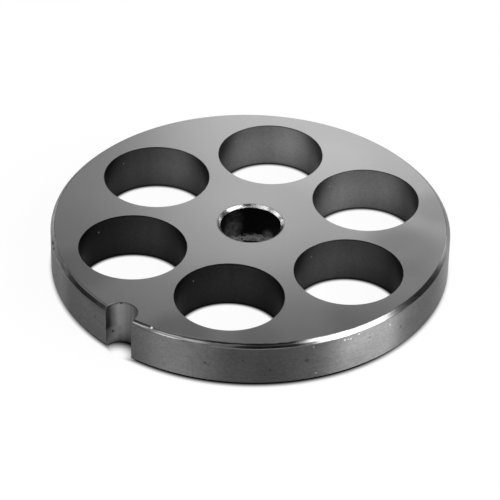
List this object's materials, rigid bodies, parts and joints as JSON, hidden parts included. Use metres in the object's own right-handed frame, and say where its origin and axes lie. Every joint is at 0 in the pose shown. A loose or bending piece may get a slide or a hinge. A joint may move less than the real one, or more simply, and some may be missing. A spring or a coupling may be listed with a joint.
{
  "type": "meat grinder plate",
  "caption": "Flat round steel plate for a meat grinder, with a ring of large round through holes, a bore for the knife shaft's stud and a key notch in the rim.",
  "frame": {"origin": "on the axis of the bore, at the lower face", "axes": "+Z along the bore's axis, up to the face that the knife sweeps; -Y from the bore's axis out through the middle of the key notch"},
  "size_m": [0.082, 0.0819, 0.01],
  "materials": {
    "ground_steel": "both faces ground flat and satin, rim and chamfers turned, holes drilled and darker, bore edges polished"
  },
  "bodies": {
    "root": {"grinder_plate": "ground_steel"}
  },
  "joints": []
}
